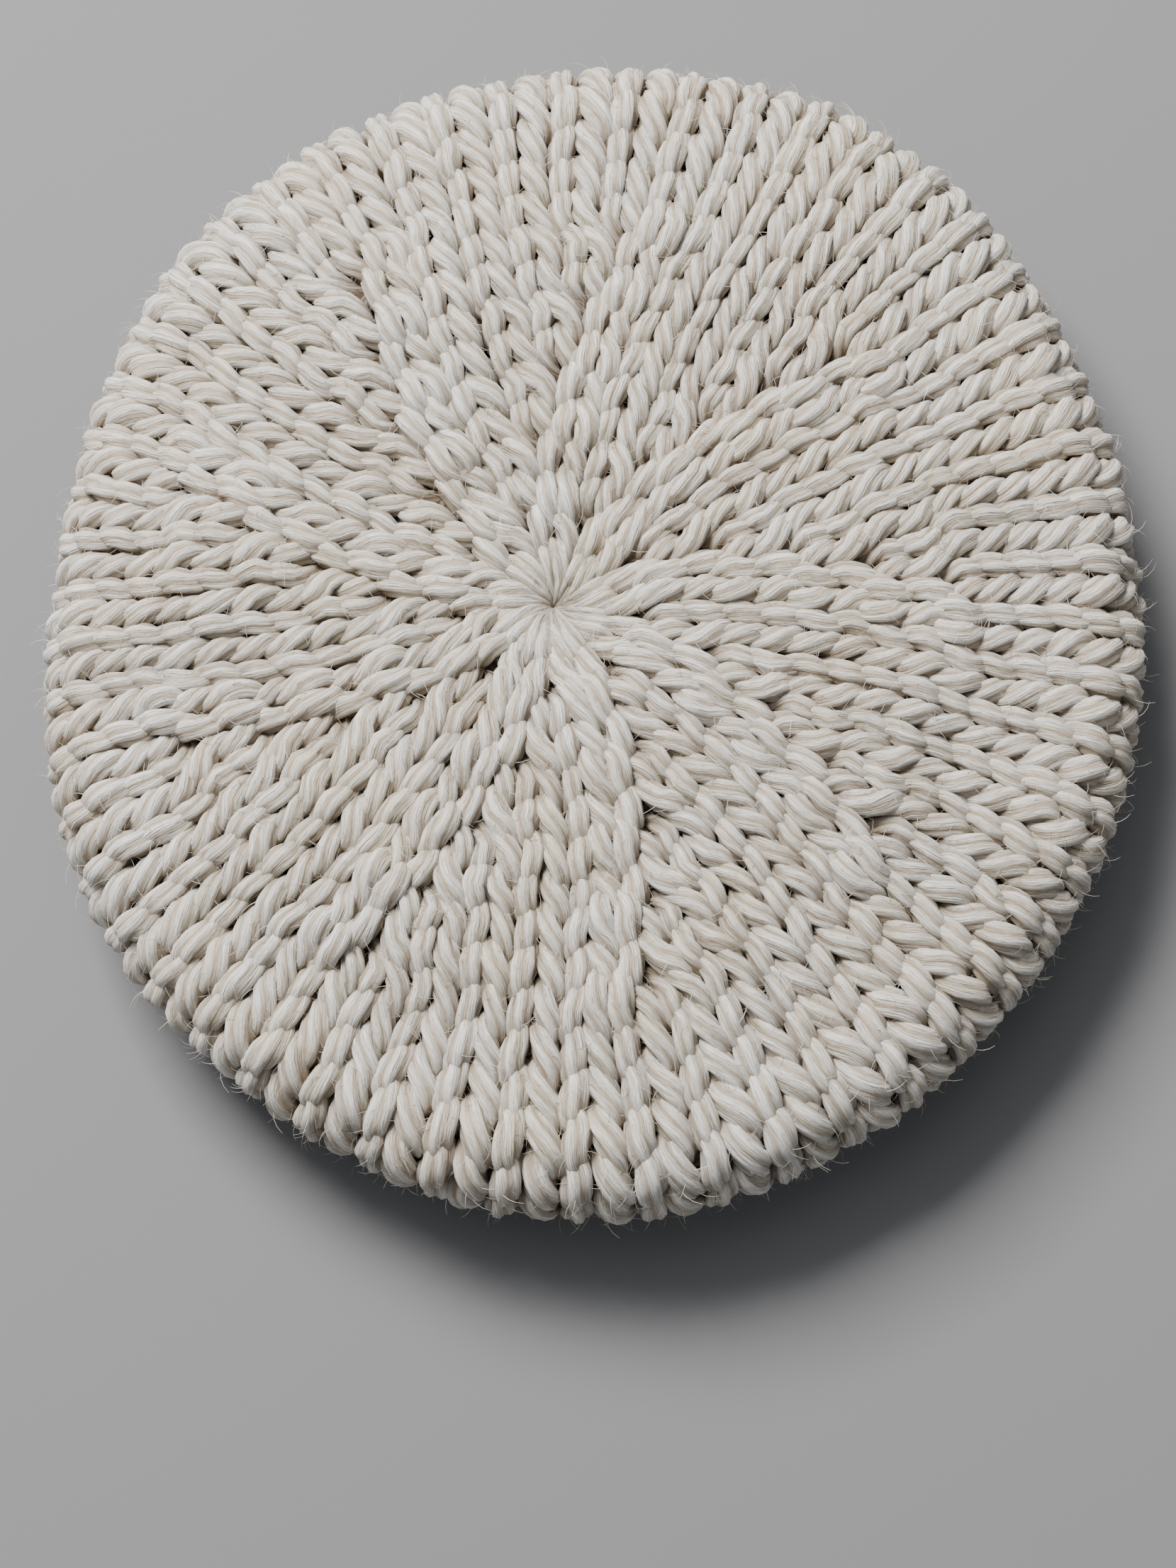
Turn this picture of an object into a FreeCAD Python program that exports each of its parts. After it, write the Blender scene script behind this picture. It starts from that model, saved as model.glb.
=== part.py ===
"""Hand-knitted chunky wool beret, lying crown up on its ribbed band.

The beret is knitted in the round from the band to the crown, so it is built here round by round.
Every round of stitches is one closed ring of fabric, and the rings hang in one another in the
order in which they are knitted. Units are millimetres, +Z is up, and the origin is on the surface
that the beret lies on, under the middle of its outline.
"""
import FreeCAD, Part
import math
import os

# ---- driving dimensions ----
OUTLINE_X = 270.0          # width of the crown over the wool, along X
OUTLINE_Y = 293.0          # width of the crown over the wool, along Y
OUTLINE_WAVES = ((2, 1.4, 84.0), (4, 0.8, 170.0), (5, 1.1, -62.0))  # times round, height, degrees
OUTLINE_MIDDLE = (0.0, 0.0)  # middle of the ellipse that the waves are added to
FABRIC = 12.0              # thickness of the stocking-stitch fabric
GATHER = (-9.5, 0.0)       # the point to which the crown is drawn together
BAND_CENTRE = (7.0, 1.0)   # the slack crown lies a little to one side of the band
BAND_RADIUS = 80.0         # middle of the band's wall
ROLL = 13.0                # radius of the rim's fold, on the middle of the fabric
CORNER = 9.0               # radius of the turn from the band into the underside

# ---- heights of the middle of the fabric ----
Z_DIMPLE = 41.0            # where the crown is drawn together
Z_CROWN = 46.0             # the flat of the crown
Z_RIM_LOW = 16.0           # lowest line of the rim, which droops round the band
Z_BAND_TOP = 25.0          # the underside where it leaves the band
DIMPLE_RADIUS = 40.0       # where the dimple has risen to the flat of the crown
SHOULDER_RADIUS = 80.0     # where the flat of the crown starts to fall to the rim

# ---- rounds of stitches ----
CAST_ON_HEIGHT = 4.0       # the corded edge of the cast-on
GATHER_HOLE = 3.0          # radius of the drawn-up hole
CLOSING_EDGE = 14.5        # outer edge of the last round, drawn to a point
DECREASE_PITCH = 8.8       # height of one round in the decreases
DECREASES = 5              # rounds that lose nine stitches each
UNDERSIDE_ROUNDS = 5
RIM_ROUNDS = 3
CROWN_ROUNDS = 4
RIB_ROUNDS = 2

# ---- gather and yarn ends ----
BEAD_RADIUS = 7.0          # the fastened-off bead inside the crown
BEAD_HEIGHT = 4.5
BEAD_ROUNDING = 1.8
STEM_IN_BEAD = 1.0         # how far the drawn-through stem goes into the bead
YARN_RADIUS = 2.2          # a woven-in end, pulled thin
TAIL_CLEARANCE = 0.4       # between an end and the fabric that it lies on
CLOSING_ARC_RADIUS = 30.0  # the closing end curves round inside the crown
CLOSING_ARC_START = 60.0   # degrees
CLOSING_ARC_SWEEP = 125.0
CAST_ON_ARC_RADIUS = 92.0  # the cast-on end follows the band, inside the underside
CAST_ON_ARC_START = 30.0
CAST_ON_ARC_SWEEP = 34.0

SEAM = 0.05                # between the band's last round and the turn into the underside
EDGE_SWELL = 1.0           # how far the corded cast-on swells

AROUND = 36                # points on each closed edge of a round
PLUMP = 0.9                # how far a round swells between its two edges

DECREASE_EDGE = CLOSING_EDGE + (2 * DECREASES - 1) * DECREASE_PITCH
SLACK_ROUNDS = 1 + UNDERSIDE_ROUNDS + RIM_ROUNDS + CROWN_ROUNDS
BAND_HEIGHT = Z_BAND_TOP - CORNER - SEAM


def smooth_step(value):
    """Rise from 0 to 1 with level ends."""
    t = min(max(value, 0.0), 1.0)
    return t * t * (3.0 - 2.0 * t)


def ray_to_ellipse(angle, centre, half_x, half_y):
    """Distance from the gather, along a direction, to an ellipse about the given centre."""
    ux = math.cos(angle)
    uy = math.sin(angle)
    dx = GATHER[0] - centre[0]
    dy = GATHER[1] - centre[1]
    a = (ux / half_x) ** 2 + (uy / half_y) ** 2
    b = 2.0 * (ux * dx / half_x ** 2 + uy * dy / half_y ** 2)
    c = (dx / half_x) ** 2 + (dy / half_y) ** 2 - 1.0
    return (-b + math.sqrt(b * b - 4.0 * a * c)) / (2.0 * a)


def fold_radius(angle):
    """Distance from the gather to where the crown begins to fold over the rim."""
    half_x = OUTLINE_X / 2.0 - FABRIC / 2.0
    half_y = OUTLINE_Y / 2.0 - FABRIC / 2.0
    wave = 0.0
    for times, height, phase in OUTLINE_WAVES:
        wave += height * math.cos(times * angle - math.radians(phase))
    return ray_to_ellipse(angle, OUTLINE_MIDDLE, half_x, half_y) + wave - ROLL


def band_radius(angle):
    """Distance from the gather to the middle of the band's wall."""
    return ray_to_ellipse(angle, BAND_CENTRE, BAND_RADIUS, BAND_RADIUS)


def crown_height(radius, fold):
    """Height of the crown's middle line at a distance from the gather."""
    rise = (Z_CROWN - Z_DIMPLE) * smooth_step(radius / DIMPLE_RADIUS)
    z_rim = Z_RIM_LOW + 2.0 * ROLL
    fall = (Z_CROWN - z_rim) * smooth_step((radius - SHOULDER_RADIUS) / (fold - SHOULDER_RADIUS))
    return Z_DIMPLE + rise - fall


def along_meridian(angle, length):
    """Radius and height of the fabric's middle, a length of fabric away from the gather."""
    fold = fold_radius(angle)
    inner = band_radius(angle) + CORNER
    if length <= fold:
        return length, crown_height(length, fold)
    length -= fold
    if length <= math.pi * ROLL:
        turn = length / ROLL
        return fold + ROLL * math.sin(turn), Z_RIM_LOW + ROLL + ROLL * math.cos(turn)
    length -= math.pi * ROLL
    run = fold - inner
    if length <= run:
        return fold - length, Z_RIM_LOW + (Z_BAND_TOP - Z_RIM_LOW) * smooth_step(length / run)
    turn = min((length - run) / CORNER, math.pi / 2.0)
    return inner - CORNER * math.sin(turn), Z_BAND_TOP - CORNER + CORNER * math.cos(turn)


def fabric_length(angle):
    """Length of fabric from the gather to the top of the band."""
    fold = fold_radius(angle)
    inner = band_radius(angle) + CORNER
    return fold + math.pi * ROLL + (fold - inner) + CORNER * math.pi / 2.0


def round_length(angle, count):
    """Length of fabric from the gather to the given slack round's edge, 0 at the decreases."""
    slack = fabric_length(angle) - DECREASE_EDGE
    return DECREASE_EDGE + slack * count / SLACK_ROUNDS


def edge_curve(length_at, offset):
    """Closed curve on the fabric, a distance out from its middle along the normal."""
    step = 0.05
    points = []
    for i in range(AROUND):
        angle = 2.0 * math.pi * i / AROUND
        length = length_at(angle)
        radius, z = along_meridian(angle, length)
        r0, z0 = along_meridian(angle, length - step)
        r1, z1 = along_meridian(angle, min(length + step, fabric_length(angle)))
        size = math.hypot(r1 - r0, z1 - z0)
        normal_r = -(z1 - z0) / size
        normal_z = (r1 - r0) / size
        radius += offset * normal_r
        z += offset * normal_z
        x = GATHER[0] + radius * math.cos(angle)
        y = GATHER[1] + radius * math.sin(angle)
        points.append(FreeCAD.Vector(x, y, z))
    curve = Part.BSplineCurve()
    curve.interpolate(Points=points, PeriodicFlag=True)
    return curve.toShape()


def fabric_ring(start_at, end_at):
    """One round of stitches, as a closed ring of fabric between two edges."""
    def middle(angle):
        return (start_at(angle) + end_at(angle)) / 2.0

    half = FABRIC / 2.0
    edges = [edge_curve(start_at, half), edge_curve(middle, half + PLUMP), edge_curve(end_at, half),
             edge_curve(end_at, -half), edge_curve(middle, -half - PLUMP), edge_curve(start_at, -half)]
    faces = []
    for i, edge in enumerate(edges):
        following = edges[(i + 1) % len(edges)]
        faces.append(Part.makeRuledSurface(edge, following))
    solid = Part.Solid(Part.Shell(faces))
    if solid.Volume < 0:
        solid.reverse()
    return solid


def slack_ring(first):
    """A round of the crown's full stitch count, numbered outwards from the decreases."""
    return fabric_ring(lambda angle: round_length(angle, first),
                       lambda angle: round_length(angle, first + 1))


def flat_ring(first, last):
    """A round of the decreases, between two distances from the gather."""
    return fabric_ring(lambda angle: first, lambda angle: last)


def band_ring(bottom, top, swell):
    """A round of the band: a short tube whose outside swells a little at its middle."""
    inner = BAND_RADIUS - FABRIC / 2.0
    outer = BAND_RADIUS + FABRIC / 2.0
    middle = (bottom + top) / 2.0
    profile = [(inner, bottom), (outer, bottom), (outer + swell, middle), (outer, top), (inner, top)]
    points = []
    for radius, z in profile + profile[:1]:
        points.append(FreeCAD.Vector(BAND_CENTRE[0] + radius, BAND_CENTRE[1], z))
    face = Part.Face(Part.makePolygon(points))
    axis_point = FreeCAD.Vector(BAND_CENTRE[0], BAND_CENTRE[1], 0.0)
    return face.revolve(axis_point, FreeCAD.Vector(0, 0, 1), 360)


def crown_gather():
    """The drawn-through yarn: a stem in the hole, and the fastened-off bead inside the crown."""
    face_z = Z_DIMPLE - FABRIC / 2.0 - PLUMP
    bead_top = face_z - TAIL_CLEARANCE
    bead_base = FreeCAD.Vector(GATHER[0], GATHER[1], bead_top - BEAD_HEIGHT)
    bead = Part.makeCylinder(BEAD_RADIUS, BEAD_HEIGHT, bead_base)
    bead = bead.makeFillet(BEAD_ROUNDING, bead.Edges)
    stem_radius = GATHER_HOLE - TAIL_CLEARANCE
    stem_height = FABRIC + PLUMP
    stem_base = FreeCAD.Vector(GATHER[0], GATHER[1], bead_top - STEM_IN_BEAD)
    stem = Part.makeCylinder(stem_radius, stem_height, stem_base)
    return bead.fuse(stem).removeSplitter()


def yarn_end(centre, radius, z, start_deg, sweep_deg):
    """A yarn end lying in a level arc inside the beret."""
    end = Part.makeTorus(radius, YARN_RADIUS, FreeCAD.Vector(0, 0, 0), FreeCAD.Vector(0, 0, 1),
                         0, 360, sweep_deg)
    end.rotate(FreeCAD.Vector(0, 0, 0), FreeCAD.Vector(0, 0, 1), start_deg)
    end.translate(FreeCAD.Vector(centre[0], centre[1], z))
    return end


def closing_tail():
    """The end of the yarn after the gather, woven round inside the crown."""
    beside_bead = BEAD_RADIUS + YARN_RADIUS + TAIL_CLEARANCE
    centre = (GATHER[0] + CLOSING_ARC_RADIUS + beside_bead, GATHER[1])
    z = Z_DIMPLE - FABRIC / 2.0 - PLUMP - YARN_RADIUS - TAIL_CLEARANCE
    return yarn_end(centre, CLOSING_ARC_RADIUS, z, CLOSING_ARC_START, CLOSING_ARC_SWEEP)


def cast_on_tail():
    """The end of the yarn before the cast-on, woven along inside the underside."""
    z = Z_BAND_TOP + FABRIC / 2.0 + PLUMP + YARN_RADIUS
    return yarn_end(BAND_CENTRE, CAST_ON_ARC_RADIUS, z, CAST_ON_ARC_START, CAST_ON_ARC_SWEEP)


def beret():
    """Every piece by name, in the order in which the beret is knitted."""
    parts = {"cast_on_edge": band_ring(0.0, CAST_ON_HEIGHT, EDGE_SWELL)}
    rib_height = (BAND_HEIGHT - CAST_ON_HEIGHT) / RIB_ROUNDS
    for i in range(RIB_ROUNDS):
        bottom = CAST_ON_HEIGHT + i * rib_height
        parts["rib_round_%d" % (i + 1)] = band_ring(bottom, bottom + rib_height, PLUMP)

    names = ["increase_round"]
    names += ["underside_round_%d" % (i + 1) for i in range(UNDERSIDE_ROUNDS)]
    names += ["rim_round_%d" % (i + 1) for i in range(RIM_ROUNDS)]
    names += ["crown_round_%d" % (i + 1) for i in range(CROWN_ROUNDS)]
    for i, name in enumerate(names):
        parts[name] = slack_ring(SLACK_ROUNDS - 1 - i)

    outer = DECREASE_EDGE
    for i in range(DECREASES):
        parts["decrease_round_%d" % (i + 1)] = flat_ring(outer - DECREASE_PITCH, outer)
        outer -= DECREASE_PITCH
        if i < DECREASES - 1:
            parts["plain_round_%d" % (i + 1)] = flat_ring(outer - DECREASE_PITCH, outer)
            outer -= DECREASE_PITCH
    parts["closing_round"] = flat_ring(GATHER_HOLE, CLOSING_EDGE)
    parts["crown_gather"] = crown_gather()
    parts["cast_on_tail"] = cast_on_tail()
    parts["closing_tail"] = closing_tail()
    return parts


os.makedirs("parts", exist_ok=True)
for part_name, shape in beret().items():
    shape.exportStep("parts/%s.step" % part_name)
    print("%-18s %9.0f mm3  valid %s" % (part_name, shape.Volume, shape.isValid()))
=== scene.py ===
import math

import bpy
import numpy as np
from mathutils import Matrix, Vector


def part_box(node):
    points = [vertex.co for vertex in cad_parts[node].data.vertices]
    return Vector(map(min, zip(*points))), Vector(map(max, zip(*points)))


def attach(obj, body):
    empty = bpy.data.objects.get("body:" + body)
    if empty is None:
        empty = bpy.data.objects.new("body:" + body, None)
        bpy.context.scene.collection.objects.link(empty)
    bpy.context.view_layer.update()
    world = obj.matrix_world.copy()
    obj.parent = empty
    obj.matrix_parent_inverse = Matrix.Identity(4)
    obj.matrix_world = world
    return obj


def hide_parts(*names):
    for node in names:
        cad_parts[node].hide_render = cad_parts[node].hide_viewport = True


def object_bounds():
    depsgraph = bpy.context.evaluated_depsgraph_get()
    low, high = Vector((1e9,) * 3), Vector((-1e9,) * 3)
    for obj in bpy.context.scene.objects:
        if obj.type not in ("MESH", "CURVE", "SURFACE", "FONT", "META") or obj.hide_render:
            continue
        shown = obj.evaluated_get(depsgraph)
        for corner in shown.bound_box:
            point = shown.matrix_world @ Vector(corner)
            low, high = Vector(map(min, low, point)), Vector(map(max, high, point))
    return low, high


# Hand-knitted chunky wool beret, lying crown up on its ribbed band. It is knitted in the round from
# the band to the crown, so each round of stitches is one closed line of loops, and the sections below
# follow the knitting. Metres, in the frame's own axes.
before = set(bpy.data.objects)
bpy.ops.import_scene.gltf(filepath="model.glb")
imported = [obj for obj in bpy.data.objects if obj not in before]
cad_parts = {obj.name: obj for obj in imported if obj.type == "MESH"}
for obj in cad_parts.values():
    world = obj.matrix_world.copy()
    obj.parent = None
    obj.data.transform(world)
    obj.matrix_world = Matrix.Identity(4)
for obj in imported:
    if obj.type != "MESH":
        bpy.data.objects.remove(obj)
cad_low, cad_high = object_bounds()


# ---- the camera, the table and the light ----
# The beret is looked down on from nearly overhead, a little from the front, under soft light that
# comes from the far left and leaves the near right side in shade.
CAMERA_AIM = Vector((-0.0011, -0.0408, 0.030))
CAMERA_TILT = math.radians(13.0)
CAMERA_DISTANCE = 0.873
CAMERA_VIEW = math.radians(24.4)
TABLE_HALF = 3.0
TABLE_TONE = (0.20, 0.20, 0.205, 1.0)
TABLE_ROUGHNESS = 0.9
LIGHTS_AIM = Vector((0.0, 0.0, 0.02))
SKY_TONE = (0.90, 0.95, 1.0, 1.0)
SKY_STRENGTH = 0.26

camera_data = bpy.data.cameras.new("camera")
camera_data.sensor_fit = "VERTICAL"
camera_data.angle = CAMERA_VIEW
camera = bpy.data.objects.new("camera", camera_data)
camera_way = Vector((0.0, -math.sin(CAMERA_TILT), math.cos(CAMERA_TILT)))
camera.location = CAMERA_AIM + CAMERA_DISTANCE * camera_way
camera.rotation_euler = (CAMERA_TILT, 0.0, 0.0)
bpy.context.scene.collection.objects.link(camera)
bpy.context.scene.camera = camera

table_mesh = bpy.data.meshes.new("table")
table_corners = [(TABLE_HALF * x, TABLE_HALF * y, 0.0) for x, y in ((-1, -1), (1, -1), (1, 1), (-1, 1))]
table_mesh.from_pydata(table_corners, [], [(0, 1, 2, 3)])
table = bpy.data.objects.new("table", table_mesh)
bpy.context.scene.collection.objects.link(table)
table_finish = bpy.data.materials.new("pale_table")
table_finish.use_nodes = True
table_shader = table_finish.node_tree.nodes["Principled BSDF"]
table_shader.inputs["Base Color"].default_value = TABLE_TONE
table_shader.inputs["Roughness"].default_value = TABLE_ROUGHNESS
table_mesh.materials.append(table_finish)


def soft_light(name, place, size, power, tone):
    """A square soft box that faces the beret."""
    data = bpy.data.lights.new(name, "AREA")
    data.shape = "SQUARE"
    data.size = size
    data.energy = power
    data.color = tone
    lamp = bpy.data.objects.new(name, data)
    lamp.location = place
    lamp.rotation_euler = (LIGHTS_AIM - Vector(place)).to_track_quat("-Z", "Y").to_euler()
    bpy.context.scene.collection.objects.link(lamp)


soft_light("window", (-0.62, 0.84, 1.36), 0.72, 71.0, (1.0, 0.985, 0.965))
soft_light("overhead", (-0.4, 0.5, 1.9), 1.4, 8.0, (1.0, 0.995, 0.985))
sky = bpy.data.worlds.new("studio")
sky.use_nodes = True
sky.node_tree.nodes["Background"].inputs["Color"].default_value = SKY_TONE
sky.node_tree.nodes["Background"].inputs["Strength"].default_value = SKY_STRENGTH
bpy.context.scene.world = sky


# ---- cast_on_edge ----
# The corded edge of the band: soft, thick undyed wool, five strands loosely spun together, turned
# round itself once for each cast-on loop. Stray fibres stand off the yarn all over the beret.
FABRIC = 0.012               # thickness of the knitted fabric
PLUMP = 0.0009               # how far the CAD rounds swell past the fabric
STRANDS = 5
STRAND_TURN = 0.056          # length of yarn in which its strands go once round
STRAND_GROOVE = 0.23         # depth between two strands, as a part of the yarn's radius
YARN_SIDES = 15
UNEVENNESS = 0.00030         # how far the yarn swells and thins
UNEVEN_PATTERN = 190.0       # swells to a metre
NOISE_REACH = 3.0            # brings the noise's swing to nearly 1 either way
FUZZ_DENSITY = 62000.0       # stray fibres to a square metre of yarn
FUZZ_SHORT, FUZZ_LONG = 0.0010, 0.0040
FUZZ_THIN = 0.022            # radius of a stray fibre at its root, as a part of its size
FUZZ_TAPER = 0.7             # how much of that it has lost at its tip
FIBRE_ROOT = (0.0, 0.0, -0.05)
FIBRE_BOW = (0.5, 0.0, 0.55)
FIBRE_TIP = (1.3, 0.15, 0.55)
OUTSIDE_FRONT = 0.6          # millimetres in front of the fabric's middle where fibres begin
CORD_TURNS = 45
CORD_RADIUS = 0.0016
CORD_YARN = 0.0025
CORD_HEIGHT = 0.0042
POINTS_IN_TURN = 12
# a lift that keeps the cord, the gather and the ends almost free of the wool's painted depth shade
FACE_TONE_LIFT = 0.0042          # how far in front of the fabric a piece counts as lying, for its tone


def link(tree, source, output, target, value):
    """Join two nodes of a tree by socket name or number."""
    tree.links.new(source.outputs[output], target.inputs[value])


def spun_yarn_tree():
    """Geometry nodes that sweep a plied yarn along a line of points that carry swell, twist and facing."""
    tree = bpy.data.node_groups.new("spun_yarn", "GeometryNodeTree")
    for name, kind, value in (("Line", "NodeSocketGeometry", None), ("Strands", "NodeSocketInt", STRANDS),
                              ("Groove", "NodeSocketFloat", STRAND_GROOVE),
                              ("Profile Points", "NodeSocketInt", YARN_SIDES),
                              ("Unevenness", "NodeSocketFloat", UNEVENNESS),
                              ("Fuzz Density", "NodeSocketFloat", FUZZ_DENSITY),
                              ("Fuzz Short", "NodeSocketFloat", FUZZ_SHORT),
                              ("Fuzz Long", "NodeSocketFloat", FUZZ_LONG),
                              ("Seed", "NodeSocketInt", 0), ("Wool", "NodeSocketMaterial", None)):
        socket = tree.interface.new_socket(name, in_out="INPUT", socket_type=kind)
        if value is not None:
            socket.default_value = value
    tree.interface.new_socket("Yarn", in_out="OUTPUT", socket_type="NodeSocketGeometry")
    new = tree.nodes.new
    inputs, outputs = new("NodeGroupInput"), new("NodeGroupOutput")

    def attribute(name, kind):
        node = new("GeometryNodeInputNamedAttribute")
        node.data_type = kind
        node.inputs["Name"].default_value = name
        return node

    def store(name, kind):
        node = new("GeometryNodeStoreNamedAttribute")
        node.data_type = kind
        node.domain = "POINT"
        node.inputs["Name"].default_value = name
        return node

    def maths(operation, *values):
        node = new("ShaderNodeMath")
        node.operation = operation
        for i, value in enumerate(values):
            if isinstance(value, (int, float)):
                node.inputs[i].default_value = value
            else:
                tree.links.new(value, node.inputs[i])
        return node.outputs[0]

    to_curve = new("GeometryNodeMeshToCurve")
    link(tree, inputs, "Line", to_curve, "Mesh")
    facing = new("GeometryNodeSetCurveNormal")
    facing.mode = "FREE"
    link(tree, to_curve, "Curve", facing, "Curve")
    tree.links.new(attribute("facing", "FLOAT_VECTOR").outputs["Attribute"], facing.inputs["Normal"])
    tilt = new("GeometryNodeSetCurveTilt")
    link(tree, facing, "Curve", tilt, "Curve")
    tree.links.new(attribute("twist", "FLOAT").outputs["Attribute"], tilt.inputs["Tilt"])
    axis = store("axis", "FLOAT_VECTOR")
    link(tree, tilt, "Curve", axis, "Geometry")
    tree.links.new(new("GeometryNodeInputPosition").outputs[0], axis.inputs["Value"])

    ring = new("GeometryNodeCurvePrimitiveCircle")
    link(tree, inputs, "Profile Points", ring, "Resolution")
    ring.inputs["Radius"].default_value = 1.0
    index = new("GeometryNodeInputIndex")
    share = maths("DIVIDE", index.outputs[0], inputs.outputs["Profile Points"])
    around = maths("MULTIPLY", share, math.tau)
    store_around = store("around", "FLOAT")
    link(tree, ring, "Curve", store_around, "Geometry")
    tree.links.new(around, store_around.inputs["Value"])
    half_turns = maths("MULTIPLY", around, maths("MULTIPLY", inputs.outputs["Strands"], 0.5))
    lobe = maths("SUBTRACT", 1.0, maths("ABSOLUTE", maths("SINE", half_turns)))
    store_crease = store("crease", "FLOAT")
    link(tree, store_around, "Geometry", store_crease, "Geometry")
    tree.links.new(lobe, store_crease.inputs["Value"])
    lobe = maths("MULTIPLY", attribute("crease", "FLOAT").outputs["Attribute"], inputs.outputs["Groove"])
    scale = new("ShaderNodeVectorMath")
    scale.operation = "SCALE"
    tree.links.new(new("GeometryNodeInputPosition").outputs[0], scale.inputs[0])
    tree.links.new(maths("SUBTRACT", 1.0, lobe), scale.inputs["Scale"])
    lobed = new("GeometryNodeSetPosition")
    link(tree, store_crease, "Geometry", lobed, "Geometry")
    link(tree, scale, "Vector", lobed, "Position")

    sweep = new("GeometryNodeCurveToMesh")
    link(tree, axis, "Geometry", sweep, "Curve")
    link(tree, lobed, "Geometry", sweep, "Profile Curve")
    tree.links.new(attribute("thickness", "FLOAT").outputs["Attribute"], sweep.inputs["Scale"])
    sweep.inputs["Fill Caps"].default_value = True
    noise = new("ShaderNodeTexNoise")
    noise.inputs["Scale"].default_value = UNEVEN_PATTERN
    noise.inputs["Detail"].default_value = 2.0
    swell = maths("SUBTRACT", noise.outputs["Fac"], 0.5)
    swell = maths("MULTIPLY", maths("MULTIPLY", swell, NOISE_REACH), inputs.outputs["Unevenness"])
    push = new("ShaderNodeVectorMath")
    push.operation = "SCALE"
    tree.links.new(new("GeometryNodeInputNormal").outputs[0], push.inputs[0])
    tree.links.new(swell, push.inputs["Scale"])
    uneven = new("GeometryNodeSetPosition")
    link(tree, sweep, "Mesh", uneven, "Geometry")
    link(tree, push, "Vector", uneven, "Offset")

    # fibre runs with the ply: two of its numbers go round the yarn and the third goes along it
    fibre = new("ShaderNodeCombineXYZ")
    turn = attribute("around", "FLOAT").outputs["Attribute"]
    tree.links.new(maths("COSINE", turn), fibre.inputs["X"])
    tree.links.new(maths("SINE", turn), fibre.inputs["Y"])
    tree.links.new(attribute("run", "FLOAT").outputs["Attribute"], fibre.inputs["Z"])
    store_fibre = store("fibre", "FLOAT_VECTOR")
    link(tree, uneven, "Geometry", store_fibre, "Geometry")
    link(tree, fibre, "Vector", store_fibre, "Value")
    # how far the wool stands in front of the middle of the fabric, in millimetres; the wool's material paints
    # shade from it
    out = new("ShaderNodeVectorMath")
    out.operation = "SUBTRACT"
    tree.links.new(new("GeometryNodeInputPosition").outputs[0], out.inputs[0])
    tree.links.new(attribute("axis", "FLOAT_VECTOR").outputs["Attribute"], out.inputs[1])
    dot = new("ShaderNodeVectorMath")
    dot.operation = "DOT_PRODUCT"
    tree.links.new(out.outputs[0], dot.inputs[0])
    tree.links.new(attribute("outward", "FLOAT_VECTOR").outputs["Attribute"], dot.inputs[1])
    front = maths("ADD", dot.outputs["Value"], attribute("lift", "FLOAT").outputs["Attribute"])
    store_front = store("front", "FLOAT")
    link(tree, store_fibre, "Geometry", store_front, "Geometry")
    tree.links.new(maths("MULTIPLY", front, 1000.0), store_front.inputs["Value"])

    # stray fibres: short curved hairs that stand off the outside of the wool
    outside = new("FunctionNodeCompare")
    outside.operation = "GREATER_THAN"
    tree.links.new(attribute("front", "FLOAT").outputs["Attribute"], outside.inputs["A"])
    outside.inputs["B"].default_value = OUTSIDE_FRONT
    roots = new("GeometryNodeDistributePointsOnFaces")
    link(tree, store_front, "Geometry", roots, "Mesh")
    link(tree, outside, "Result", roots, "Selection")
    link(tree, inputs, "Fuzz Density", roots, "Density")
    link(tree, inputs, "Seed", roots, "Seed")
    bow = new("GeometryNodeCurveQuadraticBezier")
    bow.inputs["Resolution"].default_value = 2
    bow.inputs["Start"].default_value = FIBRE_ROOT
    bow.inputs["Middle"].default_value = FIBRE_BOW
    bow.inputs["End"].default_value = FIBRE_TIP
    hair_ring = new("GeometryNodeCurvePrimitiveCircle")
    hair_ring.inputs["Resolution"].default_value = 3
    hair_ring.inputs["Radius"].default_value = FUZZ_THIN
    hair = new("GeometryNodeCurveToMesh")
    link(tree, bow, "Curve", hair, "Curve")
    link(tree, hair_ring, "Curve", hair, "Profile Curve")
    along_hair = new("GeometryNodeSplineParameter")
    lost = maths("MULTIPLY", along_hair.outputs["Factor"], FUZZ_TAPER)
    tree.links.new(maths("SUBTRACT", 1.0, lost), hair.inputs["Scale"])
    hair.inputs["Fill Caps"].default_value = True
    spin = new("FunctionNodeRandomValue")
    spin.inputs["Max"].default_value = math.tau
    link(tree, inputs, "Seed", spin, "Seed")
    spin_angle = new("ShaderNodeCombineXYZ")
    tree.links.new(spin.outputs["Value"], spin_angle.inputs["Z"])
    turned = new("FunctionNodeRotateRotation")
    turned.rotation_space = "LOCAL"
    link(tree, roots, "Rotation", turned, "Rotation")
    tree.links.new(spin_angle.outputs[0], turned.inputs["Rotate By"])
    size = new("FunctionNodeRandomValue")
    link(tree, inputs, "Fuzz Short", size, "Min")
    link(tree, inputs, "Fuzz Long", size, "Max")
    link(tree, inputs, "Seed", size, "Seed")
    fuzz = new("GeometryNodeInstanceOnPoints")
    link(tree, roots, "Points", fuzz, "Points")
    link(tree, hair, "Mesh", fuzz, "Instance")
    link(tree, turned, "Rotation", fuzz, "Rotation")
    tree.links.new(size.outputs["Value"], fuzz.inputs["Scale"])
    together = new("GeometryNodeJoinGeometry")
    tree.links.new(fuzz.outputs["Instances"], together.inputs["Geometry"])
    tree.links.new(store_front.outputs["Geometry"], together.inputs["Geometry"])

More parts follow.
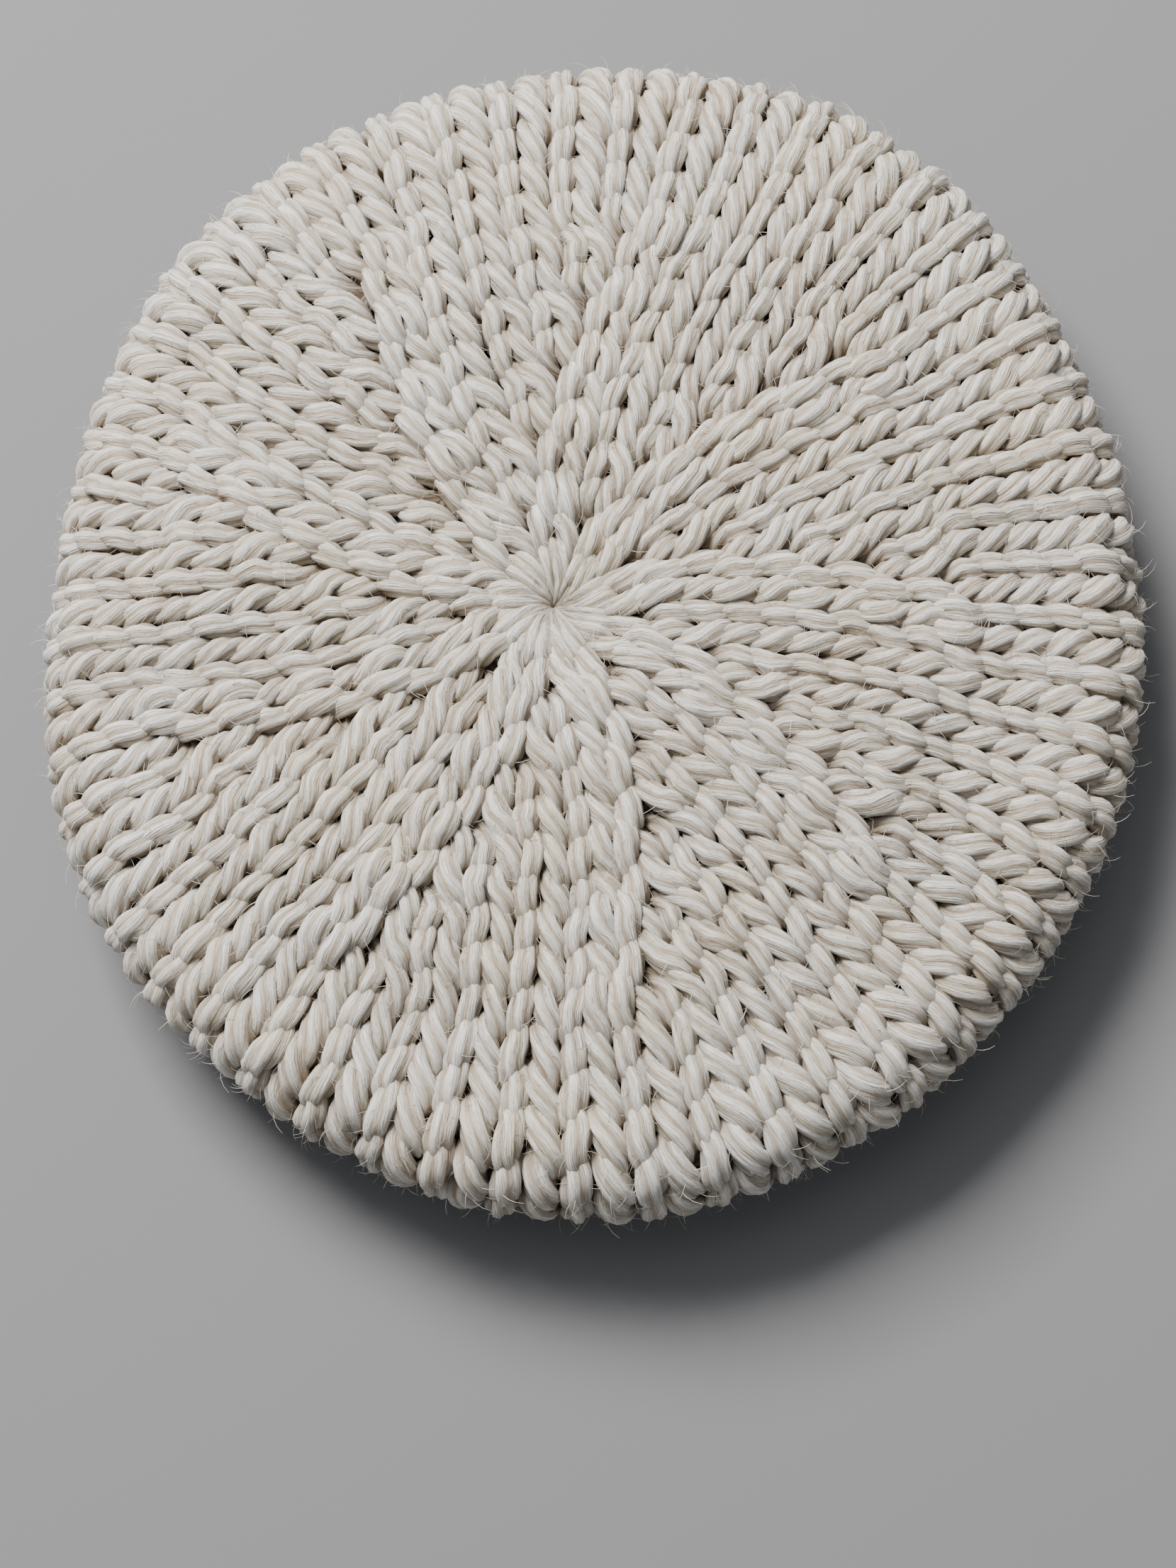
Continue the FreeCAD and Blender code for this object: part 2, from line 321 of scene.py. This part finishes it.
    smooth = new("GeometryNodeSetShadeSmooth")
    link(tree, together, "Geometry", smooth, "Geometry")
    real = new("GeometryNodeRealizeInstances")
    link(tree, smooth, "Geometry", real, "Geometry")
    finish = new("GeometryNodeSetMaterial")
    link(tree, real, "Geometry", finish, "Geometry")
    link(tree, inputs, "Wool", finish, "Material")
    link(tree, finish, "Geometry", outputs, "Yarn")
    return tree


# both faces of the fabric show the wool's own cream, and what lies between them gets painted warm shade
FACE_WOOL = (0.93, 0.91, 0.87, 1.0)
SIDE_PAINTED_SHADE = (0.49, 0.435, 0.36, 1.0)
DEEP_PAINTED_SHADE = (0.27, 0.20, 0.135, 1.0)
GROOVE_PAINTED_SHADE = (0.58, 0.505, 0.42, 1.0)
WARM_CLOUD = (0.95, 0.91, 0.84, 1.0)
FIBRE_SHADE = (0.60, 0.57, 0.53, 1.0)
NO_SHADE = (1.0, 1.0, 1.0, 1.0)
DEPTH_SHOWN = 6.0            # millimetres either side of the fabric's middle that the depth tones span
CLOUD_PATTERN = 42.0         # warm clouds to a metre
FIBRE_ROUGHNESS = 0.62


def cream_wool():
    """Undyed cream wool: fine fibres along each ply, with painted warm shade down between the stitches and in
    the strands' grooves.
    """
    wool = bpy.data.materials.new("cream_wool")
    wool.use_nodes = True
    tree = wool.node_tree
    shader = tree.nodes["Principled BSDF"]
    shader.inputs["Roughness"].default_value = 0.92
    shader.inputs["Specular IOR Level"].default_value = 0.12
    shader.inputs["Sheen Weight"].default_value = 0.25
    shader.inputs["Sheen Roughness"].default_value = 0.6
    shader.inputs["Sheen Tint"].default_value = (1.0, 0.98, 0.95, 1.0)
    new = tree.nodes.new

    def carried(name):
        """A value that the yarn's mesh carries."""
        node = new("ShaderNodeAttribute")
        node.attribute_name = name
        return node

    def along_fibre(across, along, detail):
        """Noise drawn out along the yarn."""
        stretch = new("ShaderNodeMapping")
        stretch.inputs["Scale"].default_value = (across, across, along)
        link(tree, fibre, "Vector", stretch, "Vector")
        noise = new("ShaderNodeTexNoise")
        noise.inputs["Scale"].default_value = 1.0
        noise.inputs["Detail"].default_value = detail
        noise.inputs["Roughness"].default_value = FIBRE_ROUGHNESS
        link(tree, stretch, "Vector", noise, "Vector")
        return noise

    def tones(source, output, *stops):
        """Tones for a value, from the first stop's position to the last one's."""
        ramp = new("ShaderNodeValToRGB")
        ends = ramp.color_ramp.elements
        ends[0].position, ends[0].color = stops[0]
        ends[1].position, ends[1].color = stops[-1]
        for position, tone in stops[1:-1]:
            ends.new(position).color = tone
        link(tree, source, output, ramp, "Fac")
        return ramp.outputs["Color"]

    def shaded(colour, tone, strength=1.0):
        """A colour multiplied by a tone."""
        mix = new("ShaderNodeMix")
        mix.data_type = "RGBA"
        mix.blend_type = "MULTIPLY"
        for socket, value in ((0, strength), (6, colour), (7, tone)):
            if isinstance(value, bpy.types.NodeSocket):
                tree.links.new(value, mix.inputs[socket])
            else:
                mix.inputs[socket].default_value = value
        return mix.outputs[2]

    def bumped(height, strength, distance):
        """Relief of a given depth in metres."""
        bump = new("ShaderNodeBump")
        bump.inputs["Strength"].default_value = strength
        bump.inputs["Distance"].default_value = distance
        link(tree, height, "Fac", bump, "Height")
        return bump

    fibre = carried("fibre")
    strands = along_fibre(3.0, 110.0, 3.0)
    streaks = along_fibre(11.0, 230.0, 4.0)
    cloud = new("ShaderNodeTexNoise")
    cloud.inputs["Scale"].default_value = CLOUD_PATTERN
    cloud.inputs["Detail"].default_value = 3.0
    link(tree, new("ShaderNodeTexCoord"), "Object", cloud, "Vector")
    depth = new("ShaderNodeMapRange")
    depth.inputs["From Min"].default_value = -DEPTH_SHOWN
    depth.inputs["From Max"].default_value = DEPTH_SHOWN
    link(tree, carried("front"), "Fac", depth, "Value")

    # painted shade: the wool darkens and warms the deeper it lies between the stitches, by its distance from
    # the fabric's middle
    colour = tones(depth, "Result", (0.17, FACE_WOOL), (0.27, SIDE_PAINTED_SHADE), (0.42, DEEP_PAINTED_SHADE),
                   (0.48, DEEP_PAINTED_SHADE), (0.66, SIDE_PAINTED_SHADE), (0.92, FACE_WOOL))
    colour = shaded(colour, tones(cloud, "Fac", (0.35, WARM_CLOUD), (0.62, NO_SHADE)))
    colour = shaded(colour, tones(streaks, "Fac", (0.38, FIBRE_SHADE), (0.60, NO_SHADE)))
    # painted shade in the grooves between the strands
    colour = shaded(colour, GROOVE_PAINTED_SHADE, carried("crease").outputs["Fac"])
    tree.links.new(colour, shader.inputs["Base Color"])

    strand_bump = bumped(strands, 0.9, 0.0012)
    fibre_bump = bumped(streaks, 0.8, 0.00050)
    link(tree, strand_bump, "Normal", fibre_bump, "Normal")
    link(tree, fibre_bump, "Normal", shader, "Normal")
    return wool


yarn_tree = spun_yarn_tree()
wool = cream_wool()


def spin_yarn(name, points, outward, lift, thickness, closed=True, seed=0):
    """Sweep the yarn along a line of points, and leave it as a plain mesh piece."""
    count = len(points)
    following = np.roll(points, -1, 0)
    steps = np.linalg.norm(following - points, axis=1)
    run = np.concatenate([[0.0], np.cumsum(steps)[:-1]])
    total = steps.sum() if closed else run[-1]
    turns = max(round(total / STRAND_TURN), 1)
    way = following - np.roll(points, 1, 0)
    if not closed:
        way[0] = points[1] - points[0]
        way[-1] = points[-1] - points[-2]
    way /= np.linalg.norm(way, axis=1, keepdims=True)
    facing = outward - (outward * way).sum(1, keepdims=True) * way
    facing /= np.linalg.norm(facing, axis=1, keepdims=True)

    line = bpy.data.meshes.new(name + "_line")
    last = count if closed else count - 1
    line.from_pydata([tuple(p) for p in points], [(i, (i + 1) % count) for i in range(last)], [])
    for key, kind, field, values in (
            ("facing", "FLOAT_VECTOR", "vector", facing), ("outward", "FLOAT_VECTOR", "vector", outward),
            ("twist", "FLOAT", "value", -math.tau * turns * run / total), ("run", "FLOAT", "value", run),
            ("thickness", "FLOAT", "value", thickness), ("lift", "FLOAT", "value", lift)):
        line.attributes.new(key, kind, "POINT").data.foreach_set(field, np.ravel(values).astype(np.float32))
    piece = bpy.data.objects.new(name, line)
    bpy.context.scene.collection.objects.link(piece)
    nodes = piece.modifiers.new("spun_yarn", "NODES")
    nodes.node_group = yarn_tree
    sockets = {s.name: s.identifier for s in yarn_tree.interface.items_tree if s.in_out == "INPUT"}
    nodes[sockets["Seed"]] = seed
    nodes[sockets["Wool"]] = wool
    bpy.context.view_layer.update()
    spun = bpy.data.meshes.new_from_object(piece.evaluated_get(bpy.context.evaluated_depsgraph_get()))
    piece.modifiers.clear()
    piece.data = spun
    spun.name = name
    bpy.data.meshes.remove(line)
    # wool that reaches the table lies on it
    places = np.empty(3 * len(spun.vertices), np.float32)
    spun.vertices.foreach_get("co", places)
    places[2::3] = np.maximum(places[2::3], 0.0)
    spun.vertices.foreach_set("co", places)
    spun.update()
    return piece


def declare(piece, node):
    """Hang the piece on the root body and hide the CAD part that it stands for."""
    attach(piece, "root")
    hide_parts(node)


edge_low, edge_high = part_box("rib_round_1")
band_centre = np.array([(edge_low.x + edge_high.x) / 2, (edge_low.y + edge_high.y) / 2])
band_middle = (edge_high.x - edge_low.x) / 2 - PLUMP - FABRIC / 2
cord_turn = np.arange(CORD_TURNS * POINTS_IN_TURN) / POINTS_IN_TURN * math.tau
cord_angle = cord_turn / CORD_TURNS
cord_reach = band_middle + CORD_RADIUS * np.cos(cord_turn)
cord_points = np.stack([band_centre[0] + cord_reach * np.cos(cord_angle),
                        band_centre[1] + cord_reach * np.sin(cord_angle),
                        CORD_HEIGHT + CORD_RADIUS * np.sin(cord_turn)], -1)
cord_outward = np.stack([np.cos(cord_angle), np.sin(cord_angle), 0 * cord_angle], -1)
cast_on_edge = spin_yarn("cast_on_edge", cord_points, cord_outward,
                         FACE_TONE_LIFT + CORD_RADIUS * np.cos(cord_turn), 0 * cord_turn + CORD_YARN, seed=60)
declare(cast_on_edge, "cast_on_edge")


# ---- rib_round_1 and rib_round_2 ----
# The band that grips the head: two knits and a purl, in rounds of loops that hang in one another.
# Every round follows one shape of fabric. A line of it runs from the drawn-up centre over the crown,
# round the rolled rim, back along the underside and down the band.
OUTLINE_WAVES = ((2, 0.0014, 84.0), (4, 0.0008, 170.0), (5, 0.0011, -62.0))  # times round, height, degrees
ROLL = 0.013                 # radius of the rim's fold
CORNER = 0.009               # radius of the turn from the band into the underside
Z_DIMPLE = 0.041             # heights of the middle of the fabric
Z_CROWN = 0.046
Z_RIM_LOW = 0.016
Z_BAND_TOP = 0.025
DIMPLE_RADIUS = 0.040
SHOULDER_RADIUS = 0.080
VALLEY_PLACE = (-0.060, 0.040)
VALLEY_DEPTH = 0.0028
VALLEY_SPREAD = (0.0011, 0.0006)             # along X and along Y, in square metres
SWELLS_BROAD, SWELLS_FINE = 0.0011, 0.0007   # heights of the gentle swells of the slack crown
LIE_FADE = 0.03              # the slack dies away over this length at the gather and at the rim
LIE_PAST_FOLD = 0.004        # and is gone this far past the fold
CLOSING_EDGE = 0.0145        # outer edge of the last round
CLOSING_MIDDLE = 0.60        # middle of its loops, as a part of that
DECREASE_PITCH = 0.0088      # height of a round in the decreases
DECREASE_COURSES = 9
DECREASE_EDGE = CLOSING_EDGE + DECREASE_COURSES * DECREASE_PITCH
SLACK_ROUNDS = 13

bead_low, bead_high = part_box("crown_gather")
gather = np.array([(bead_low.x + bead_high.x) / 2, (bead_low.y + bead_high.y) / 2])
crown_middle = np.array([(cad_high.x + cad_low.x) / 2, (cad_high.y + cad_low.y) / 2])
half_across = np.array([cad_high.x - cad_low.x, cad_high.y - cad_low.y]) / 2 - PLUMP - FABRIC / 2


def rise(value):
    """From 0 to 1 with level ends."""
    t = np.clip(value, 0.0, 1.0)
    return t * t * (3.0 - 2.0 * t)


def ray_to_ellipse(angle, centre, half):
    """Distance from the gather, along a direction, to an ellipse."""
    way = np.stack([np.cos(angle), np.sin(angle)], -1) / half
    start = (gather - centre) / half
    a = (way ** 2).sum(-1)
    b = 2.0 * (way * start).sum(-1)
    c = (start ** 2).sum(-1) - 1.0
    return (-b + np.sqrt(b * b - 4.0 * a * c)) / (2.0 * a)


def fold_radius(angle):
    """Distance from the gather to where the crown begins to fold over the rim."""
    wave = sum(height * np.cos(times * angle - math.radians(turn)) for times, height, turn in OUTLINE_WAVES)
    return ray_to_ellipse(angle, crown_middle, half_across) + wave - ROLL


def band_radius(angle):
    """Distance from the gather to the middle of the band's wall."""
    return ray_to_ellipse(angle, band_centre, np.array([band_middle, band_middle]))


def fabric_length(angle):
    """Length of fabric from the gather to the top of the band's straight wall."""
    fold = fold_radius(angle)
    return 2.0 * fold + math.pi * ROLL - band_radius(angle) - CORNER + CORNER * math.pi / 2


def crown_lie(x, y, radius, fold):
    """How far the slack crown sinks and swells as it lies."""
    fade = rise(radius / LIE_FADE) * rise((fold + LIE_PAST_FOLD - radius) / LIE_FADE)
    off_valley = (x - VALLEY_PLACE[0]) ** 2 / VALLEY_SPREAD[0] + (y - VALLEY_PLACE[1]) ** 2 / VALLEY_SPREAD[1]
    valley = -VALLEY_DEPTH * np.exp(-off_valley)
    broad = SWELLS_BROAD * np.sin(x * 61.0 + 1.3) * np.cos(y * 47.0 - 0.6)
    fine = SWELLS_FINE * np.sin(x * 33.0 - y * 58.0)
    return fade * (valley + (broad + fine))


def fabric_place(angle, length, lift):
    """Points at a height over the fabric's middle, with the fabric's outward direction there."""
    def middle(angle, length):
        fold = fold_radius(angle)
        inner = band_radius(angle) + CORNER
        run = fold - inner
        l_roll = length - fold
        l_under = l_roll - math.pi * ROLL
        l_corner = l_under - run
        l_band = l_corner - CORNER * math.pi / 2
        fall = rise((length - SHOULDER_RADIUS) / (fold - SHOULDER_RADIUS))
        z_crown = Z_DIMPLE + (Z_CROWN - Z_DIMPLE) * rise(length / DIMPLE_RADIUS)
        z_crown = z_crown - (Z_CROWN - Z_RIM_LOW - 2 * ROLL) * fall
        turn = np.clip(l_roll / ROLL, 0.0, math.pi)
        bend = np.clip(l_corner / CORNER, 0.0, math.pi / 2)
        parts = [l_roll <= 0, l_under <= 0, l_corner <= 0]
        radius = np.select(parts, [length, fold + ROLL * np.sin(turn), fold - l_under],
                           inner - CORNER * np.sin(bend))
        z_under = Z_RIM_LOW + (Z_BAND_TOP - Z_RIM_LOW) * rise(l_under / run)
        z_band = Z_BAND_TOP - CORNER + CORNER * np.cos(bend) - np.maximum(l_band, 0.0)
        z = np.select(parts, [z_crown, Z_RIM_LOW + ROLL + ROLL * np.cos(turn), z_under], z_band)
        x = gather[0] + radius * np.cos(angle)
        y = gather[1] + radius * np.sin(angle)
        z = z + np.where(l_roll <= 0, crown_lie(x, y, radius, fold), 0.0)
        return np.stack([x, y, z], -1)

    step = 0.0004
    turn_step = 0.004
    shortest = 1e-5
    here = middle(angle, length)
    outward = middle(angle, length + step) - middle(angle, np.maximum(length - step, shortest))
    around = middle(angle + turn_step, length) - middle(angle - turn_step, length)
    normal = np.cross(outward, around)
    normal /= np.linalg.norm(normal, axis=-1, keepdims=True)
    return here + normal * np.asarray(lift)[..., None], normal


# Courses are counted outwards from the gather: 0 is the closing round, 9 the first round of decreases,
# 10 to 22 the slack of the crown, rim and underside, and 23 to 25 the rib and the cast-on. Nine lines
# of decreases divide the crown, and each line takes one stitch a time out of the sector beside it.
LINE_STARTS = (0, 39, 77, 118, 160, 199, 240, 281, 321)    # degrees, where the lines leave the slack
SECTORS = len(LINE_STARTS)
HALF_SECTOR = 360.0 / SECTORS / 2.0
STITCHES_IN_SECTOR = (1, 1, 2, 2, 3, 3, 4, 4, 5, 5) + (6,) * SLACK_ROUNDS + (5, 5, 5)
LAST_COURSE = len(STITCHES_IN_SECTOR) - 1
RIB_HEIGHTS = (0.01296, 0.00699, 0.0028)                   # of rib_round_2, rib_round_1 and the cast-on
INMOST = 0.0013                                            # from the gather to where the petals meet
DRAWN_UP_IN = 0.85                                         # part of a round in which the petals run in to it


def course_length(course, angle):
    """Length of fabric from the gather to a course, or to any place between two courses."""
    total = fabric_length(angle)
    slack = (total - DECREASE_EDGE) / SLACK_ROUNDS
    lengths = [CLOSING_EDGE * CLOSING_MIDDLE + 0 * angle]
    lengths += [CLOSING_EDGE + DECREASE_PITCH * (i + 0.5) + 0 * angle for i in range(DECREASE_COURSES)]
    lengths += [DECREASE_EDGE + slack * (i + 0.5) for i in range(SLACK_ROUNDS)]
    lengths += [total + Z_BAND_TOP - CORNER - z for z in RIB_HEIGHTS]
    lengths = np.stack(np.broadcast_arrays(*lengths), -1)
    low = np.clip(np.floor(course), 0, LAST_COURSE - 1).astype(int)
    part = course - low
    a = np.take_along_axis(lengths, low[..., None], -1)[..., 0]
    b = np.take_along_axis(lengths, low[..., None] + 1, -1)[..., 0]
    length = a + (b - a) * part
    drawn_up = INMOST + (lengths[..., 0] - INMOST) * np.clip(1.0 + part / DRAWN_UP_IN, 0.0, 1.0)
    return np.where(course < 0, drawn_up, length)


def sector_stitches(course):
    """Stitches in one sector at a course, with the fractions in between."""
    return np.interp(course, np.arange(LAST_COURSE + 1), STITCHES_IN_SECTOR)


def line_drift(course):
    """How far the lines of decreases have turned, in degrees, counted from the slack of the crown."""
    drift = [0.0] * (LAST_COURSE + 1)
    for i in range(LAST_COURSE - len(RIB_HEIGHTS) - 1, -1, -1):
        before, now = STITCHES_IN_SECTOR[i + 1], STITCHES_IN_SECTOR[i]
        drift[i] = drift[i + 1] + (HALF_SECTOR / before if now < before else 0.0)
    return np.interp(course, np.arange(LAST_COURSE + 1), drift)


def wale_angle(stitches, wale, course):
    """Direction of a wale's middle, in radians, for wales numbered anticlockwise in their own round."""
    sector, place = np.divmod(wale, stitches)
    turns, sector = np.divmod(sector, SECTORS)
    starts = np.array(LINE_STARTS + (360,), float)
    start = starts[sector]
    end = starts[sector + 1]
    from_line = (stitches - 1 - place + 0.5) * (end - start) / sector_stitches(course)
    return np.radians(end + 360.0 * turns + line_drift(course) - from_line)


# Each loop comes up through the one below, bows out to the front as two legs, and goes back behind at
# its head. A leg leans more on its clockwise side, which gives a row of beads beside a smooth rope.
LOOP_POINTS = 32
LOOP_HEIGHT = 0.96           # in rounds, from the middle of a loop to its head
LOOP_DEPTH = 0.0025          # how far a loop passes in front of and behind the fabric's middle
LEG_LEAN = 0.195             # in stitches
LEG_BIAS = 0.062
YARN_THIN, YARN_THICK = 0.0028, 0.0036
FIRST_SEED = 1000
YARN_TO_STITCH = 0.24        # the yarn's radius beside the stitch's width
LEG_SWELL, HEAD_SWELL = 1.12, 0.72
LEAN_VARIES, BIAS_VARIES, SIDE_VARIES, HEIGHT_VARIES, SWELL_VARIES = 0.12, 0.25, 0.03, 0.04, 0.05
LIFT_VARIES = 0.0004
KNIT_PROUD, PURL_SUNK = 0.0008, 0.0012
PETAL_LIFT = 0.0022
PETAL_TO_STITCH = 0.42
PETAL_THIN = 0.0017
OVER_FROM = -0.35            # in rounds, where a stitch starts to lie over its neighbour
OVER_LIFT, UNDER_SINK = 0.0024, 0.0022
OVER_SWELL = 0.12


def loop_round(name, course, stitches, purls=(), crossing=False, seed=0):
    """One closed round of loops at a course, with its stitches numbered anticlockwise."""
    chance = np.random.default_rng(FIRST_SEED + seed)
    count = SECTORS * stitches
    stitch = np.arange(count)[:, None]
    t = (np.arange(LOOP_POINTS) / LOOP_POINTS * math.tau)[None, :]

    def uneven(amount):
        """A different small amount for each stitch."""
        return amount * np.clip(chance.standard_normal((count, 1)), -2, 2)

    lean = LEG_LEAN * (1.0 + uneven(LEAN_VARIES))
    bias = LEG_BIAS * (1.0 + uneven(BIAS_VARIES))
    across = t / math.tau - 0.5 + lean * np.sin(2 * t) + bias * np.cos(t)
    front = 0.5 - 0.5 * np.cos(2 * t)
    across = across + uneven(SIDE_VARIES) * front
    up = -LOOP_HEIGHT * (1.0 + uneven(HEIGHT_VARIES) * front) * np.cos(t)
    lift = -LOOP_DEPTH * np.cos(2 * t)
    swell = (LEG_SWELL + HEAD_SWELL) / 2 - (LEG_SWELL - HEAD_SWELL) / 2 * np.cos(2 * t)
    swell = swell + uneven(SWELL_VARIES) * front
    lift = lift + uneven(LIFT_VARIES) * front
    if len(purls):
        lift = np.where(np.isin(stitch % 3, purls), -lift - PURL_SUNK, lift + KNIT_PROUD)
    if course == 0:
        lift = lift + PETAL_LIFT * rise(up)
    if crossing:
        place = stitch % stitches
        near_head = rise(up - OVER_FROM)
        lift = lift + np.where(place == stitches - 1, OVER_LIFT, 0.0) * near_head
        lift = lift - np.where(place == 0, UNDER_SINK, 0.0) * near_head
        swell = swell + np.where(place == stitches - 1, OVER_SWELL, 0.0)

    along = stitch + 0.5 + across
    level = course - up
    wale = np.floor(along - 0.5).astype(int)
    part = along - 0.5 - wale
    left = wale_angle(stitches, wale, level)
    right = wale_angle(stitches, wale + 1, level)
    angle = left + (right - left) * part
    length = course_length(level, angle)
    points, outward = fabric_place(angle, length, lift)
    right_points, _ = fabric_place(right, length, lift)
    left_points, _ = fabric_place(left, length, lift)
    width = np.linalg.norm(right_points - left_points, axis=-1)
    thickness = np.clip(YARN_TO_STITCH * width, YARN_THIN, YARN_THICK)
    if course == 0:
        thickness = np.clip(PETAL_TO_STITCH * width, PETAL_THIN, YARN_THICK)
    piece = spin_yarn(name, points.reshape(-1, 3), outward.reshape(-1, 3), np.ravel(lift),
                      np.ravel(thickness * swell), seed=seed)
    declare(piece, name)


loop_round("rib_round_1", 24, 5, purls=(2,), seed=1)
loop_round("rib_round_2", 23, 5, purls=(2,), seed=2)


# ---- increase_round, the underside, the rim and the crown ----
# The slack of the beret: plain stocking stitch of full width, in the same wool. The increase round
# has six stitches over every five of the band. The lines of decreases begin at the last crown round.
slack_names = ["increase_round"]
slack_names += ["underside_round_%d" % (i + 1) for i in range(5)]
slack_names += ["rim_round_%d" % (i + 1) for i in range(3)]
slack_names += ["crown_round_%d" % (i + 1) for i in range(4)]
for i, name in enumerate(slack_names):
    loop_round(name, 22 - i, 6, crossing=(name == slack_names[-1]), seed=10 + i)


# ---- the decrease rounds, the plain rounds and closing_round ----
# Nine stitches are lost in each round of decreases, with a plain round between. A stitch that takes in
# its neighbour lies over it, so nine bold lines run in to the petals of the last nine loops.
for i in range(5):
    stitches = 5 - i
    loop_round("decrease_round_%d" % (i + 1), 9 - 2 * i, stitches, seed=30 + i)
    if i < 4:
        loop_round("plain_round_%d" % (i + 1), 8 - 2 * i, stitches, crossing=True, seed=40 + i)
loop_round("closing_round", 0, 1, seed=50)


# ---- crown_gather ----
# The cut end of the yarn is drawn through the last nine loops, pulled tight and fastened off inside
# the crown: a small ring of pulled-thin wool in the loops, and a knot of it hanging under them.
RING_RADIUS = 0.0042
RING_YARN = 0.0014
RING_DEPTH = 0.0050
RING_POINTS = 48
KNOT_RADIUS = 0.0036
KNOT_HOLE = 0.0017
KNOT_YARN = 0.0018
KNOT_RISE = 0.0014
KNOT_POINTS = 120

ring_turn = np.arange(RING_POINTS) / RING_POINTS * math.tau
ring_points = np.stack([gather[0] + RING_RADIUS * np.cos(ring_turn),
                        gather[1] + RING_RADIUS * np.sin(ring_turn),
                        0 * ring_turn + Z_DIMPLE - RING_DEPTH], -1)
ring_outward = np.tile([0.0, 0.0, 1.0], (RING_POINTS, 1))
gather_ring = spin_yarn("gather_ring", ring_points, ring_outward, 0 * ring_turn + FACE_TONE_LIFT,
                        0 * ring_turn + RING_YARN, seed=61)
declare(gather_ring, "crown_gather")

knot_turn = np.arange(KNOT_POINTS) / KNOT_POINTS * math.tau
knot_reach = KNOT_RADIUS + KNOT_HOLE * np.cos(3 * knot_turn)
knot_middle = bead_low.z + KNOT_RISE + KNOT_YARN
knot_points = np.stack([gather[0] + knot_reach * np.cos(2 * knot_turn),
                        gather[1] + knot_reach * np.sin(2 * knot_turn),
                        knot_middle + KNOT_RISE * np.sin(3 * knot_turn)], -1)
knot_outward = np.tile([0.0, 0.0, 1.0], (KNOT_POINTS, 1))
gather_knot = spin_yarn("gather_knot", knot_points, knot_outward, 0 * knot_turn + FACE_TONE_LIFT,
                        0 * knot_turn + KNOT_YARN, seed=62)
declare(gather_knot, "crown_gather")


# ---- cast_on_tail and closing_tail ----
# The two ends of the yarn, woven in on the inside of the fabric: one beside the band on the underside,
# the other round under the crown from the knot. Each is pulled thin and frays out at its ends.
TAIL_YARN = 0.0022
TAIL_POINTS = 60
FRAYED = 0.012               # length over which an end thins out
FRAYED_TO = 0.25             # how much of the yarn is left at its tip
BAND_ARC, CROWN_ARC = 0.092, 0.030
CROWN_ARC_MIDDLE = np.array([0.0396, 0.0])   # from the gather, so that the arc passes beside the knot


def woven_end(name, centre, radius, start, sweep, seed):
    """An end of yarn along a level arc at the height of its CAD solid."""
    low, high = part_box(name)
    turn = np.radians(np.linspace(start, start + sweep, TAIL_POINTS))
    points = np.stack([centre[0] + radius * np.cos(turn), centre[1] + radius * np.sin(turn),
                       0 * turn + (low.z + high.z) / 2], -1)
    outward = np.tile([0.0, 0.0, 1.0], (TAIL_POINTS, 1))
    run = radius * np.radians(sweep) * np.linspace(0.0, 1.0, TAIL_POINTS)
    to_end = np.minimum(run, run[-1] - run)
    thickness = TAIL_YARN * (FRAYED_TO + (1.0 - FRAYED_TO) * rise(to_end / FRAYED))
    end = spin_yarn(name, points, outward, 0 * turn + FACE_TONE_LIFT, thickness, closed=False, seed=seed)
    declare(end, name)


woven_end("cast_on_tail", band_centre, BAND_ARC, 30.0, 34.0, 63)
woven_end("closing_tail", gather + CROWN_ARC_MIDDLE, CROWN_ARC, 60.0, 125.0, 64)
